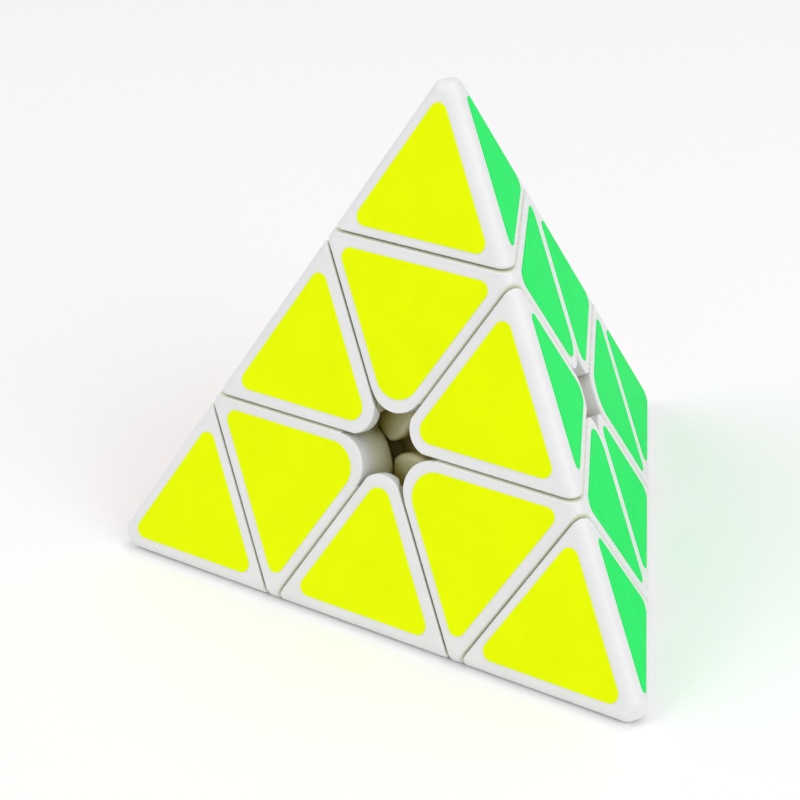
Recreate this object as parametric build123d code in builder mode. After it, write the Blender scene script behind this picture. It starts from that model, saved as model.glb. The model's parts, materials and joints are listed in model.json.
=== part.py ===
from build123d import *

import os
from math import acos, degrees, radians, sin, sqrt

# Pyramid twisty puzzle.  Four layers turn about the four corner axes of a regular pyramid, and
# each small corner tip turns again on its own layer.  The origin is the centre of the core, where
# the four axes meet.  +Z runs up the axis of the top corner, and the front face looks along -Y.
# The four corners are top, left, right and back.  Each face is named after the corner opposite it.

# ---- Whole puzzle ------------------------------------------------------------------------------
pyramid_edge = 98.0
edge_rounding = 1.8
corner_flat_depth = 4.4
rim_rounding = 0.35
seam_gap = 0.3
wall = 1.8

# ---- Stickers ----------------------------------------------------------------------------------
sticker_thickness = 0.12
sticker_corner = 1.4
axial_sticker_nose = 3.8
edge_sticker_nose = 2.0
big_edge_inset = 3.0
tip_seam_inset = 1.66
edge_seam_inset = 2.1
axial_side_inset = 1.56
axial_base_inset = 1.8

# ---- Openings at the face centres --------------------------------------------------------------
axial_barrel = 4.6
edge_barrel = 3.9
edge_lip = 1.8
edge_lip_reach = 7.0

# ---- Retaining feet around the core ------------------------------------------------------------
hub_radius = 9.4
foot_inner_radius = 10.2
foot_outer_radius = 13.3
foot_cut = 2.3
foot_barrel = 5.2
foot_nose = 2.0
foot_rounding = 0.8

# ---- Turning post of each layer ----------------------------------------------------------------
arm_radius = 3.5
arm_end = 17.0
arm_play = 0.2
web_bottom = 17.3
web_thickness = 2.0
spring_wire = 0.6
spring_radius = 2.85
spring_pitch = 1.2
spring_play = 0.15
washer_bottom = 25.3
washer_thickness = 0.6
washer_radius = 3.5
screw_radius = 1.1
screw_tip = 7.5
screw_head_radius = 2.5
screw_head_height = 2.2
screw_clearance_radius = 1.8
recess_length = 2.8
recess_width = 0.7
tower_radius = 5.4
tower_bore = 3.8

# ---- Snap stem of each tip ---------------------------------------------------------------------
stem_radius = 3.1
stem_bore = 2.2
stem_end = 29.0
barb_radius = 3.6
barb_top = 30.1
lip_radius = 3.35
lip_bottom = 30.4
lip_top = 31.8
stem_slot = 0.9
plug_thickness = 1.6

# ---- Allowances for shaping the pieces ---------------------------------------------------------
tolerance = 0.0001
rim_lift = 0.03
nose_stop_distance = 2.0
nose_wall = 2.2
nose_cutter_lift = 1.0
nose_cutter_depth = 13.0
nose_cutter_width = 18.0
seat = (Align.CENTER, Align.CENTER, Align.MIN)

# ---- Worked out from the above -----------------------------------------------------------------
face_distance = pyramid_edge * sqrt(2 / 3) / 4
tip_cut = face_distance * 5 / 3
layer_cut = face_distance / 3
half_gap = seam_gap / 2
row_height = pyramid_edge / 3 * sqrt(3) / 2
block_size = 3 * pyramid_edge
corner_tilt = degrees(acos(-1 / 3))
axial_floor = foot_outer_radius + half_gap
foot_top = foot_outer_radius - half_gap
foot_bottom = foot_inner_radius + half_gap
web_top = web_bottom + web_thickness
nose_offset = half_gap * 2 / sin(radians(corner_tilt))
axial_nose = axial_barrel + nose_offset
edge_nose = edge_barrel + nose_offset

centre = Vector(0, 0, 0)
up = Vector(0, 0, 1)
corner_azimuths = {"left": 210, "right": 330, "back": 90}
corners = {"top": up}
for corner_name, azimuth in corner_azimuths.items():
    corners[corner_name] = up.rotate(Axis.Y, corner_tilt).rotate(Axis.Z, azimuth)

edge_pairs = [
    ("top", "left"),
    ("top", "right"),
    ("top", "back"),
    ("left", "right"),
    ("right", "back"),
    ("back", "left"),
]
face_names = {"back": "front", "left": "right", "right": "left", "top": "bottom"}


# ---- Planes, frames and placing ----------------------------------------------------------------
def wall_plane(direction, distance):
    """The plane at a distance from the core centre, with its normal along a direction."""
    return Plane(origin=direction * distance, z_dir=direction)


def skin_planes(inset):
    """The four outer faces, moved inward by an inset."""
    return [wall_plane(-axis, face_distance - inset) for axis in corners.values()]


def across(direction, normal):
    """The part of a direction that lies in the plane with this normal, with length 1."""
    return (direction - normal * direction.dot(normal)).normalized()


def face_plane(opposite, towards):
    """A sketch plane on an outer face: origin at the face centre, Y pointing towards a direction."""
    normal = -corners[opposite]
    return Plane(
        origin=normal * face_distance,
        x_dir=across(towards, normal).cross(normal),
        z_dir=normal,
    )


def corner_frame(corner):
    """The frame of a corner piece: Z along the corner's axis, X towards another corner."""
    axis = corners[corner]
    other = next(value for name, value in corners.items() if name != corner)
    return Plane(origin=centre, x_dir=across(other, axis), z_dir=axis)


def edge_frame(first, second):
    """The frame of an edge piece: Z out through the middle of the edge, X along the edge."""
    return Plane(
        origin=centre,
        x_dir=corners[first] - corners[second],
        z_dir=corners[first] + corners[second],
    )


def moved_copy(piece, old_frame, new_frame):
    """A copy of a piece, turned about the core centre from one frame to another."""
    return new_frame.location * old_frame.location.inverse() * piece


def save(piece, name):
    """Label a piece and write it as its own STEP file."""
    piece.label = name
    export_step(piece, f"parts/{name}.step")


# ---- Shared shapes -----------------------------------------------------------------------------
def convex_block(planes):
    """The space on the inner side of a set of planes."""
    with BuildPart() as block:
        Box(block_size, block_size, block_size)
        for plane in planes:
            split(bisect_by=plane, keep=Keep.BOTTOM)
    return block.part


def make_rounded_pyramid():
    """The whole outer shape, before it is cut into pieces, with blunt round corners."""
    flats = [wall_plane(axis, 3 * face_distance - corner_flat_depth) for axis in corners.values()]
    with BuildPart() as pyramid:
        add(convex_block(skin_planes(0) + flats))
        fillet(pyramid.edges(), edge_rounding)
    return pyramid.part


def ball(radius):
    """A ball about the core centre."""
    with BuildPart() as whole_ball:
        Sphere(radius)
    return whole_ball.part


def nose_cutter(opposite, towards, barrel_radius, nose_distance):
    """What comes off a piece to leave a barrel-shaped nose, this far from a face's centre line."""
    face = face_plane(opposite, towards)
    barrel_centre = nose_distance + barrel_radius
    barrel_plane = Plane(
        origin=face.from_local_coords((0, barrel_centre, 0)),
        x_dir=face.x_dir,
        z_dir=face.x_dir.cross(face.z_dir),
    )
    shoulder = barrel_radius - rim_rounding
    with BuildPart() as cutter:
        with BuildSketch(face.offset(nose_cutter_lift)):
            with Locations((0, barrel_centre - barrel_radius / 2)):
                Rectangle(nose_cutter_width, nose_cutter_width, align=(Align.CENTER, Align.MAX))
        extrude(amount=-(nose_cutter_lift + nose_cutter_depth))
        with BuildSketch(barrel_plane):
            with BuildLine():
                crown_centre = (shoulder, rim_lift - rim_rounding)
                crown = CenterArc(crown_centre, rim_rounding, 0, 90)
                Polyline(
                    crown @ 1,
                    (shoulder, nose_cutter_width),
                    (0, nose_cutter_width),
                    (0, -nose_cutter_width),
                    (barrel_radius, -nose_cutter_width),
                    crown @ 0,
                )
            make_face()
        revolve(axis=Axis(barrel_plane.origin, face.z_dir), mode=Mode.SUBTRACT)
    return cutter.part


def nose_stop(opposite, towards, distance):
    """A plane square to a face, which cuts off the space nearer than this to the face centre."""
    face = face_plane(opposite, towards)
    return Plane(origin=face.from_local_coords((0, distance, 0)), z_dir=-face.y_dir)


def lies_on(edge, plane):
    """Whether an edge lies in a plane all along."""
    samples = [edge @ share for share in (0, 0.3, 0.7, 1)]
    return all(abs((point - plane.origin).dot(plane.z_dir)) < tolerance for point in samples)


def is_outside(edge):
    """Whether an edge lies on an outer face, or runs round the rounding between two faces."""
    depth = min(face_distance + axis.dot(edge @ 0.5) for axis in corners.values())
    return depth < tolerance or edge.geom_type == GeomType.ELLIPSE


def cut_from_pyramid(seams, stops):
    """A solid piece of the rounded pyramid between seam planes, with round rims on its outside."""
    with BuildPart() as piece:
        add(rounded_pyramid)
        for plane in seams + stops:
            split(bisect_by=plane, keep=Keep.BOTTOM)
        rims = [
            edge
            for edge in piece.edges()
            if is_outside(edge) and any(lies_on(edge, seam) for seam in seams)
        ]
        fillet(rims, rim_rounding)
    return piece.part


# ---- Core: hub, and the screw, spring and washer that hold each layer on ------------------------
def make_core_hub():
    """A ball with four arms, each bored for its screw."""
    with BuildPart() as hub:
        Sphere(hub_radius)
        for axis in corners.values():
            with BuildSketch(wall_plane(axis, 0)):
                Circle(arm_radius)
            extrude(amount=arm_end)
        for axis in corners.values():
            with BuildSketch(wall_plane(axis, screw_tip)):
                Circle(screw_radius)
            extrude(amount=arm_end, mode=Mode.SUBTRACT)
    return hub.part


def make_screw():
    """The top screw: a pan head with a cross recess, on a plain shank with a pointed tip."""
    head_bottom = washer_bottom + washer_thickness
    head_top = head_bottom + screw_head_height
    with BuildPart() as screw:
        with BuildSketch(Plane.XY.offset(head_bottom)):
            Circle(screw_head_radius)
        extrude(amount=screw_head_height)
        fillet(screw.edges().group_by(Axis.Z)[-1], screw_head_height / 3)
        with BuildSketch(Plane.XY.offset(screw_tip)):
            Circle(screw_radius)
        extrude(amount=head_bottom - screw_tip)
        chamfer(screw.edges().group_by(Axis.Z)[0], screw_radius / 2)
        with BuildSketch(Plane.XY.offset(head_top)):
            Rectangle(recess_length, recess_width)
            Rectangle(recess_width, recess_length)
        extrude(amount=-screw_head_height / 2, mode=Mode.SUBTRACT)
    return screw.part


def make_spring():
    """The top compression spring, between the layer's web and the washer."""
    lowest = web_top + spring_play + spring_wire / 2
    highest = washer_bottom - spring_play - spring_wire / 2
    with BuildPart() as spring:
        with BuildLine():
            coil = Helix(spring_pitch, highest - lowest, spring_radius, center=(0, 0, lowest))
        with BuildSketch(Plane(origin=coil @ 0, z_dir=coil % 0)):
            Circle(spring_wire / 2)
        sweep(is_frenet=True)
    return spring.part


def make_washer():
    """The top washer, under the screw head."""
    with BuildPart() as washer:
        with BuildSketch(Plane.XY.offset(washer_bottom)):
            Circle(washer_radius)
            Circle(screw_radius + arm_play, mode=Mode.SUBTRACT)
        extrude(amount=washer_thickness)
    return washer.part


def one_for_each_corner(piece):
    """Four copies of a top piece as one group of separate solids, one at each corner."""
    copies = [moved_copy(piece, corner_frame("top"), corner_frame(name)) for name in corners]
    return Compound(copies)


# ---- Tip: hollow cap, and a plug with a split snap stem ----------------------------------------
def make_tip():
    """The top tip, two solids: the cap, and the plug that closes it and snaps into the layer."""
    floor = tip_cut + half_gap
    seam = wall_plane(-up, -floor)
    cap_body = cut_from_pyramid([seam], [])
    hollow = convex_block(skin_planes(wall) + [seam])
    with BuildPart() as cap:
        add(cap_body)
        add(hollow, mode=Mode.SUBTRACT)
    with BuildPart() as plug:
        add(hollow)
        split(bisect_by=wall_plane(up, floor + plug_thickness), keep=Keep.BOTTOM)
        with BuildSketch(Plane.XZ):
            with BuildLine():
                Polyline(
                    (stem_bore, floor),
                    (stem_bore, stem_end),
                    (stem_radius, stem_end),
                    (barb_radius, barb_top - stem_slot / 2),
                    (barb_radius, barb_top),
                    (stem_radius, barb_top),
                    (stem_radius, floor),
                    close=True,
                )
            make_face()
        revolve(axis=Axis.Z)
        with BuildSketch(Plane.XY.offset(stem_end)):
            Rectangle(3 * stem_radius, stem_slot)
            Rectangle(stem_slot, 3 * stem_radius)
        extrude(amount=lip_top - stem_end, mode=Mode.SUBTRACT)
    return Compound([cap.part, plug.part])


# ---- Axial piece: the turning centre of a layer ------------------------------------------------
def make_axial():
    """The top axial piece, two solids: the outer shell, and the base that turns on the core arm."""
    others = [name for name in corners if name != "top"]
    roof = tip_cut - half_gap
    roof_seam = wall_plane(up, roof)
    floor_seam = wall_plane(-up, -(layer_cut + half_gap))
    side_seams = [wall_plane(corners[name], layer_cut - half_gap) for name in others]
    stops = [nose_stop(name, up, nose_stop_distance) for name in others]
    outer_body = cut_from_pyramid([roof_seam] + side_seams, stops + [floor_seam])

    hollow_sides = [seam.offset(-wall) for seam in [roof_seam, floor_seam] + side_seams]
    hollow_noses = [nose_stop(name, up, axial_barrel + nose_wall) for name in others]
    hollow = convex_block(skin_planes(wall) + hollow_sides + hollow_noses)
    noses = [nose_cutter(name, up, axial_barrel, axial_nose) for name in others]
    with BuildPart() as shell:
        add(outer_body)
        add(noses + [hollow, ball(axial_floor)], mode=Mode.SUBTRACT)
        Cylinder(tower_radius, tip_cut, align=seat, mode=Mode.SUBTRACT)

    with BuildPart() as base:
        add(hollow)
        add(ball(axial_floor + wall), mode=Mode.INTERSECT)
        add(ball(axial_floor), mode=Mode.SUBTRACT)
        with Locations((0, 0, foot_bottom)):
            Cylinder(tower_radius, roof - foot_bottom, align=seat)
        with BuildSketch(Plane.XZ):
            with BuildLine():
                Polyline(
                    (0, 0),
                    (arm_radius + arm_play, 0),
                    (arm_radius + arm_play, web_bottom),
                    (screw_clearance_radius, web_bottom),
                    (screw_clearance_radius, web_top),
                    (tower_bore, web_top),
                    (tower_bore, lip_bottom),
                    (lip_radius, lip_bottom),
                    (lip_radius, lip_top - (tower_bore - lip_radius)),
                    (tower_bore, lip_top),
                    (tower_bore, tip_cut),
                    (0, tip_cut),
                    close=True,
                )
            make_face()
        revolve(axis=Axis.Z, mode=Mode.SUBTRACT)
    return Compound([shell.part, base.part])


# ---- Edge piece: outer shell, and the foot that the axial pieces hold down ----------------------
def make_edge_shell():
    """The outer shell of the edge piece between the top and left corners."""
    side = layer_cut + half_gap
    outward = corners["top"] + corners["left"]
    faces = ("right", "back")
    seams = [wall_plane(-corners[name], -side) for name in ("top", "left")]
    stops = [nose_stop(name, outward, nose_stop_distance) for name in faces]
    outer_body = cut_from_pyramid(seams, stops)
    hollow_sides = [seam.offset(-wall) for seam in seams]
    hollow_noses = [nose_stop(name, outward, edge_lip_reach + wall) for name in faces]
    hollow = convex_block(skin_planes(wall) + hollow_sides + hollow_noses)
    noses = [nose_cutter(name, outward, edge_barrel, edge_nose) for name in faces]
    undercuts = [nose_undercut(name, outward) for name in faces]
    with BuildPart() as shell:
        add(outer_body)
        add(noses + undercuts + [hollow, ball(foot_top)], mode=Mode.SUBTRACT)
    return shell.part


def nose_undercut(opposite, towards):
    """The space under the lip of an edge piece's nose."""
    lip_plane = wall_plane(-corners[opposite], face_distance - edge_lip)
    back_wall = nose_stop(opposite, -towards, -edge_lip_reach)
    return convex_block([lip_plane, back_wall])


def make_edge_foot():
    """The foot of the same edge piece, which closes the shell and reaches under its neighbours."""
    outward = corners["top"] + corners["left"]
    faces = ("right", "back")
    sides = [wall_plane(-corners[name], -(foot_cut + half_gap)) for name in ("top", "left")]
    ends = [wall_plane(corners[name], foot_cut - half_gap) for name in faces]
    noses = [nose_cutter(name, outward, foot_barrel, foot_nose) for name in faces]
    with BuildPart() as foot:
        Sphere(foot_top)
        Sphere(foot_bottom, mode=Mode.SUBTRACT)
        for plane in sides + ends:
            split(bisect_by=plane, keep=Keep.BOTTOM)
        add(noses, mode=Mode.SUBTRACT)
        fillet(foot.edges(), foot_rounding)
    return foot.part


# ---- Stickers ----------------------------------------------------------------------------------
def make_sticker(plane, apex, base, inset, base_inset, nose):
    """A thin triangle with round corners, between an apex and a base at two heights in a plane.

    Both slanting sides move in by the inset, the base by its own, and the apex gets its own radius.
    """
    inward = 1 if base > apex else -1
    tip_height = apex + inward * 2 * inset
    base_height = base - inward * base_inset
    half_base = abs(base_height - tip_height) / sqrt(3)
    with BuildPart() as sticker:
        with BuildSketch(plane) as outline:
            with BuildLine():
                Polyline(
                    (0, tip_height),
                    (half_base, base_height),
                    (-half_base, base_height),
                    close=True,
                )
            make_face()
            points = outline.vertices().sort_by(lambda point: abs(point.X))
            fillet(points[0], nose)
            points = outline.vertices().sort_by(lambda point: abs(point.X))
            fillet(points[-2:], sticker_corner)
        extrude(amount=sticker_thickness)
    return sticker.part


def save_face_stickers(opposite):
    """The nine stickers of one face: a tip and an axial one for each corner, and three edge ones."""
    face = face_names[opposite]
    for name, axis in corners.items():
        if name == opposite:
            continue
        plane = face_plane(opposite, axis)
        tip = make_sticker(
            plane, 2 * row_height, row_height, big_edge_inset, tip_seam_inset, sticker_corner
        )
        save(tip, f"sticker_{face}_tip_{name}")
        axial = make_sticker(
            plane, 0, row_height, axial_side_inset, axial_base_inset, axial_sticker_nose
        )
        save(axial, f"sticker_{face}_axial_{name}")
    for first, second in edge_pairs:
        if opposite in (first, second):
            continue
        plane = face_plane(opposite, corners[first] + corners[second])
        edge = make_sticker(
            plane, 0, row_height, edge_seam_inset, big_edge_inset, edge_sticker_nose
        )
        save(edge, f"sticker_{face}_edge_{first}_{second}")


# ---- Every piece in its place ------------------------------------------------------------------
os.makedirs("parts", exist_ok=True)
rounded_pyramid = make_rounded_pyramid()

save(make_core_hub(), "core_hub")
save(one_for_each_corner(make_screw()), "axis_screws")
save(one_for_each_corner(make_spring()), "tension_springs")
save(one_for_each_corner(make_washer()), "spring_washers")

top_tip = make_tip()
top_axial = make_axial()
for corner_name in corners:
    frames = (corner_frame("top"), corner_frame(corner_name))
    save(moved_copy(top_tip, *frames), f"tip_{corner_name}")
    save(moved_copy(top_axial, *frames), f"axial_{corner_name}")

edge_shell = make_edge_shell()
edge_foot = make_edge_foot()
for first, second in edge_pairs:
    frames = (edge_frame("top", "left"), edge_frame(first, second))
    save(moved_copy(edge_shell, *frames), f"edge_shell_{first}_{second}")
    save(moved_copy(edge_foot, *frames), f"edge_foot_{first}_{second}")

for opposite_corner in corners:
    save_face_stickers(opposite_corner)
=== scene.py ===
import json

import bpy
from mathutils import Matrix, Vector


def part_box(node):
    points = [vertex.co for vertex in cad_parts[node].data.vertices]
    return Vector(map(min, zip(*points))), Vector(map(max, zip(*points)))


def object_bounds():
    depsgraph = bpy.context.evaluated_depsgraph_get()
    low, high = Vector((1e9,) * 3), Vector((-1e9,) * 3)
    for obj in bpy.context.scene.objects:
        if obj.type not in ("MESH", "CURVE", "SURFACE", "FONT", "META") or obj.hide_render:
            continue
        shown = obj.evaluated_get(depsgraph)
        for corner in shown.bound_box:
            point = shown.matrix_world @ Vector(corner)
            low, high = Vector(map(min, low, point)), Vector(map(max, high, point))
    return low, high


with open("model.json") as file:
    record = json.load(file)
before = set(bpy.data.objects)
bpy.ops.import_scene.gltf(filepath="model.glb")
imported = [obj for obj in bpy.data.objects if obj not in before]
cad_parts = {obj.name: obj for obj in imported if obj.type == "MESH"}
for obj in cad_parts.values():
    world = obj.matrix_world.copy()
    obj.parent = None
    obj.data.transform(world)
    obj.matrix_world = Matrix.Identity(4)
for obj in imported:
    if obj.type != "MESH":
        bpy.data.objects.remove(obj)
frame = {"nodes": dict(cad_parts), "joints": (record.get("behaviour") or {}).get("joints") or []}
cad_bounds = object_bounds()

MM = 0.001

# ---- Puzzle geometry, from the frame -------------------------------------------------------------
LAYER_JOINTS = [f"layer_{corner}_turn" for corner in ("top", "left", "right", "back")]
CORNER_AXES = [joint["axis"] for joint in frame["joints"] if joint["name"] in LAYER_JOINTS]
# From the core to each outer face of the pyramid.
FACE_DISTANCE = -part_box("edge_shell_left_right")[0].z
# From the core, along a corner's axis, to the planes that its layer and its tip turn on.
SEAM_HEIGHTS = (FACE_DISTANCE / 3, FACE_DISTANCE * 5 / 3)

# ---- Camera, floor and light, in metres and watts ------------------------------------------------
CAMERA_PLACE = Vector((0.1752, -0.2488, 0.1674))
CAMERA_FORWARD = Vector((-0.5299, 0.7067, -0.4688))
CAMERA_UP = Vector((-0.2389, 0.4060, 0.8821))
CAMERA_LENS_MM = 104.67
FLOOR_SIZE = 6.0
FLOOR_COLOUR = (0.94, 0.94, 0.94)
FLOOR_MOTTLE_SIZE = 0.3
WORLD_COLOUR = (1.0, 1.0, 1.0)
WORLD_STRENGTH = 0.6
SOFTBOXES = (
    {"name": "key_light", "place": (-0.5, -0.7, 0.9), "size": 0.7, "power": 3.5},
    {"name": "fill_light", "place": (0.9, -0.2, 0.6), "size": 0.7, "power": 3.5},
    {"name": "top_light", "place": (0.1, 0.3, 1.2), "size": 0.8, "power": 3.0},
)

# ---- Colours, linear -----------------------------------------------------------------------------
WHITE_PLASTIC = (0.80, 0.80, 0.81)
# Painted olive shade for the seam walls, where the gaps between pieces fall dark.
SEAM_PAINTED_SHADE = (0.76, 0.79, 0.65)
# Painted yellowish shade tint for surfaces just inside the pyramid's holes.
INNER_PAINTED_SHADE = (0.86, 0.86, 0.67)
# Painted deep olive shade for surfaces deep inside, and the core hub's whole colour: the core is
# white plastic lying in shade.
CORE_PAINTED_SHADE = (0.58, 0.50, 0.15)
DULL_STEEL = (0.50, 0.50, 0.52)
CLEAN_STEEL = (0.62, 0.62, 0.63)
STICKER_COLOURS = {
    "front": (0.83, 0.98, 0.002),
    "right": (0.004, 0.87, 0.14),
    "left": (0.93, 0.035, 0.045),
    "bottom": (0.008, 0.22, 0.93),
}

# ---- Where the plastic changes -------------------------------------------------------------------
# Distances from a seam: its side walls, tinted with painted olive shade, end within the first; its
# rim, darkened with painted shade and made glossier by wear, fades over the second.
SEAM_SHADE_WALL_END = (0.14 * MM, 0.22 * MM)
SEAM_RIM_SHADE_AND_WEAR = (0.2 * MM, 1.1 * MM)
# Depths inside the pyramid: the skin turns to a painted yellowish shade over the first, and to a
# darker painted shade over the second.
INNER_SHADE_DEPTH = (1.2 * MM, 5 * MM)
CORE_SHADE_DEPTH = (6 * MM, 9 * MM)
WORN_ROUGHNESS = 0.30
SATIN_ROUGHNESS = 0.42

# Most of a noise's values lie between these two.
NOISE_RANGE = (0.3, 0.7)


# ---- Node helpers --------------------------------------------------------------------------------
class Material:
    """A material under construction: its node tree, and short calls to add and join nodes."""

    def __init__(self, name):
        self.data = bpy.data.materials.new(name)
        self.data.use_nodes = True
        self.tree = self.data.node_tree
        self.shader = self.tree.nodes["Principled BSDF"]
        self.place = self.node("ShaderNodeTexCoord").outputs["Object"]
        self.normal = None

    def feed(self, socket, value):
        """Sets an input to a plain value, or joins another node's output to it."""
        if isinstance(value, bpy.types.NodeSocket):
            self.tree.links.new(value, socket)
        else:
            socket.default_value = value

    def node(self, kind, inputs=None, **settings):
        """Adds a node with these settings and inputs."""
        made = self.tree.nodes.new(kind)
        for key, value in settings.items():
            setattr(made, key, value)
        for key, value in (inputs or {}).items():
            self.feed(made.inputs[key], value)
        return made

    def surface(self, socket, value):
        """Sets one of the shader's inputs."""
        self.feed(self.shader.inputs[socket], value)

    def noise(self, size, detail):
        """A noise from 0 to 1 whose lumps are about this size."""
        inputs = {"Vector": self.place, "Scale": 1 / size, "Detail": detail}
        return self.node("ShaderNodeTexNoise", inputs).outputs["Fac"]

    def ramp(self, source, start, end, low=0.0, high=1.0):
        """Maps a value from start to end smoothly onto low to high."""
        inputs = {"Value": source, "From Min": start, "From Max": end}
        inputs |= {"To Min": low, "To Max": high}
        made = self.node("ShaderNodeMapRange", inputs, interpolation_type="SMOOTHSTEP")
        return made.outputs["Result"]

    def variation(self, size, detail=2, low=0.0, high=1.0):
        """A value that wanders between low and high in lumps of about this size."""
        return self.ramp(self.noise(size, detail), *NOISE_RANGE, low, high)

    def math(self, operation, *values):
        """One arithmetic step on plain numbers or nodes' outputs."""
        made = self.node("ShaderNodeMath", dict(enumerate(values)), operation=operation)
        return made.outputs["Value"]

    def lowest(self, values):
        """The lowest of several values."""
        result = values[0]
        for value in values[1:]:
            result = self.math("MINIMUM", result, value)
        return result

    def heights(self):
        """How far the surface is from the core along each corner's axis."""
        found = []
        for axis in CORNER_AXES:
            inputs = {0: self.place, 1: axis}
            made = self.node("ShaderNodeVectorMath", inputs, operation="DOT_PRODUCT")
            found.append(made.outputs["Value"])
        return found

    def depth(self, heights):
        """How far the surface is inside the nearest outer face."""
        return self.math("ADD", self.lowest(heights), FACE_DISTANCE)

    def seam_distance(self, heights):
        """How far the surface is from the nearest plane that a layer or a tip turns on."""
        gaps = []
        for height in heights:
            for seam in SEAM_HEIGHTS:
                gaps.append(self.math("ABSOLUTE", self.math("SUBTRACT", height, seam)))
        return self.lowest(gaps)

    def mix(self, factor, first, second):
        """A colour between two, each a plain colour or a node's output."""
        inputs = {"Factor": factor}
        for key, value in (("A", first), ("B", second)):
            inputs[key] = (*value, 1) if isinstance(value, tuple) else value
        return self.node("ShaderNodeMix", inputs, data_type="RGBA").outputs["Result"]

    def bump(self, size, detail, height):
        """Raises lumps of about this size by up to this height, on top of any earlier bump."""
        made = self.node("ShaderNodeBump", {"Height": self.noise(size, detail), "Distance": height})
        if self.normal is not None:
            self.feed(made.inputs["Normal"], self.normal)
        self.normal = made.outputs["Normal"]
        self.surface("Normal", self.normal)


def scaled(colour, factor):
    """A colour made lighter or darker."""
    return tuple(channel * factor for channel in colour)


def moulded_plastic(name, colour):
    """Satin injection-moulded plastic: smooth rims, with painted shade darkening the rims and seam
    walls, and painted yellowish shade deepening inside the pyramid.
    """
    made = Material(name)
    heights = made.heights()
    seam = made.seam_distance(heights)
    depth = made.depth(heights)
    rim_shade_and_wear = made.ramp(seam, *SEAM_RIM_SHADE_AND_WEAR)
    skin = made.mix(made.variation(9 * MM), scaled(colour, 0.975), scaled(colour, 1.01))
    # Painted shade: the rims beside each seam are darkened; their lower roughness further down is
    # real wear.
    skin = made.mix(rim_shade_and_wear, scaled(colour, 0.96), skin)
    # Painted shade: the seam walls take the olive seam shade.
    skin = made.mix(made.ramp(seam, *SEAM_SHADE_WALL_END), SEAM_PAINTED_SHADE, skin)
    # Painted shade inside: yellowish near the holes, deep olive further in, fading in with depth.
    inside = made.mix(made.ramp(depth, *CORE_SHADE_DEPTH), INNER_PAINTED_SHADE, CORE_PAINTED_SHADE)
    made.surface("Base Color", made.mix(made.ramp(depth, *INNER_SHADE_DEPTH), skin, inside))
    wear = made.ramp(rim_shade_and_wear, 0, 1, WORN_ROUGHNESS, SATIN_ROUGHNESS)
    grain = made.variation(0.6 * MM, detail=3, low=-0.05, high=0.05)
    made.surface("Roughness", made.math("ADD", wear, grain))
    made.bump(5 * MM, detail=1, height=0.02 * MM)
    made.bump(0.3 * MM, detail=2, height=0.003 * MM)
    made.surface("IOR", 1.5)
    made.surface("Subsurface Weight", 0.15)
    made.surface("Subsurface Radius", (1.0, 0.9, 0.8))
    made.surface("Subsurface Scale", 0.8 * MM)
    return made.data


def vinyl(name, colour):
    """Bright sticker film, matt and very slightly dimpled."""
    made = Material(name)
    made.surface("Base Color", made.mix(made.variation(6 * MM), scaled(colour, 0.97), colour))
    made.surface("Roughness", made.variation(0.4 * MM, detail=3, low=0.38, high=0.5))
    made.bump(2.5 * MM, detail=1, height=0.01 * MM)
    made.bump(0.3 * MM, detail=2, height=0.003 * MM)
    made.surface("Specular IOR Level", 0.02)
    return made.data


def steel(name, roughness):
    """Plated steel with faint stains and fine scratches."""
    made = Material(name)
    stains = made.variation(1.5 * MM, detail=4)
    made.surface("Base Color", made.mix(stains, DULL_STEEL, CLEAN_STEEL))
    scratches = made.variation(0.3 * MM, detail=4, low=roughness - 0.08, high=roughness + 0.08)
    made.surface("Roughness", scratches)
    made.bump(0.08 * MM, detail=3, height=0.003 * MM)
    made.surface("Metallic", 1)
    return made.data


# ---- Object --------------------------------------------------------------------------------------
white_plastic = moulded_plastic("white_plastic", WHITE_PLASTIC)
core_materials = {
    # The core hub is painted all over with the deep shade colour.
    "core_hub": moulded_plastic("core_plastic", CORE_PAINTED_SHADE),
    "axis_screws": steel("screw_steel", roughness=0.32),
    "tension_springs": steel("spring_steel", roughness=0.28),
    "spring_washers": steel("washer_steel", roughness=0.36),
}
sticker_materials = {
    face: vinyl(f"sticker_{face}", colour) for face, colour in STICKER_COLOURS.items()
}


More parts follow.
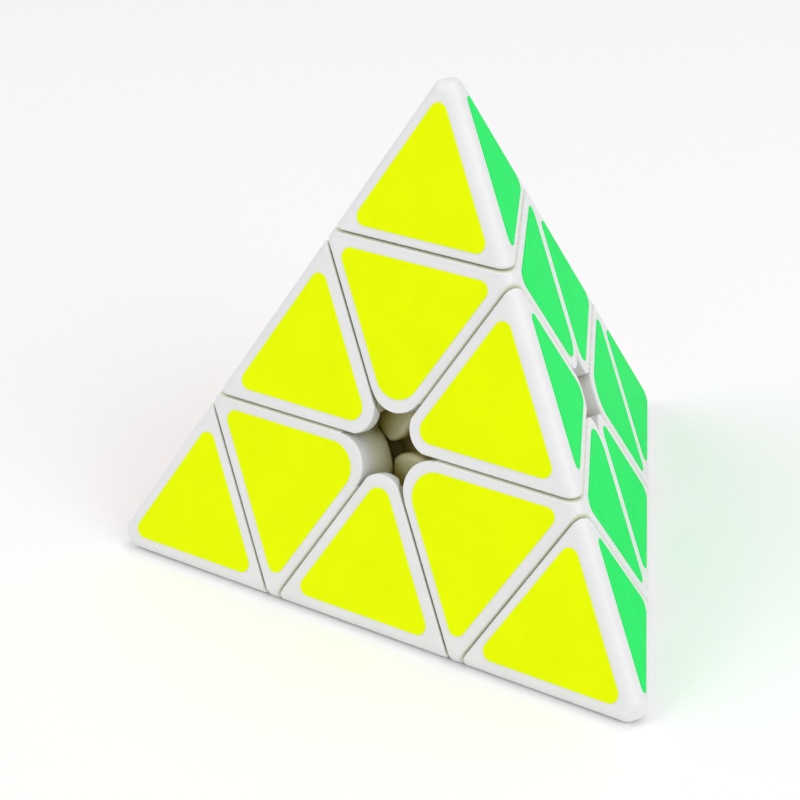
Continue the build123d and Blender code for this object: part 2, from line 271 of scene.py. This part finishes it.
def material_for(name):
    """The material of a CAD node: every shell, base, foot and tip is white plastic."""
    kind, group = name.split("_")[:2]
    if kind == "sticker":
        return sticker_materials[group]
    return core_materials.get(name, white_plastic)


for name, node in frame["nodes"].items():
    for slot in node.material_slots:
        slot.material = material_for(name)


# ---- Stage ---------------------------------------------------------------------------------------
def make_floor():
    """A pale paper floor under the lowest point of the object."""
    bpy.ops.mesh.primitive_plane_add(size=FLOOR_SIZE, location=(0, 0, cad_bounds[0].z))
    floor = bpy.context.object
    floor.name = "floor"
    made = Material("floor_paper")
    mottle = made.noise(FLOOR_MOTTLE_SIZE, detail=2)
    made.surface("Base Color", made.mix(mottle, scaled(FLOOR_COLOUR, 0.995), FLOOR_COLOUR))
    made.surface("Roughness", 0.9)
    made.surface("Specular IOR Level", 0.1)
    floor.data.materials.append(made.data)


def make_softbox(name, place, size, power):
    """A square area light aimed at the object."""
    light = bpy.data.lights.new(name, "AREA")
    light.size = size
    light.energy = power
    box = bpy.data.objects.new(name, light)
    box.location = place
    box.rotation_mode = "QUATERNION"
    box.rotation_quaternion = (-Vector(place)).to_track_quat("-Z", "Y")
    bpy.context.scene.collection.objects.link(box)


def make_world():
    """Even white light from all round."""
    world = bpy.data.worlds.new("studio")
    world.use_nodes = True
    background = world.node_tree.nodes["Background"]
    background.inputs["Color"].default_value = (*WORLD_COLOUR, 1)
    background.inputs["Strength"].default_value = WORLD_STRENGTH
    bpy.context.scene.world = world


def make_camera():
    """A camera at the photograph's viewing angle."""
    forward = CAMERA_FORWARD.normalized()
    right = forward.cross(CAMERA_UP).normalized()
    up = right.cross(forward)
    data = bpy.data.cameras.new("camera")
    data.lens = CAMERA_LENS_MM
    camera = bpy.data.objects.new("camera", data)
    turn = Matrix((right, up, -forward)).transposed().to_4x4()
    camera.matrix_world = Matrix.Translation(CAMERA_PLACE) @ turn
    bpy.context.scene.collection.objects.link(camera)
    bpy.context.scene.camera = camera


make_floor()
make_world()
for softbox in SOFTBOXES:
    make_softbox(**softbox)
make_camera()
bpy.context.scene.view_settings.view_transform = "Standard"
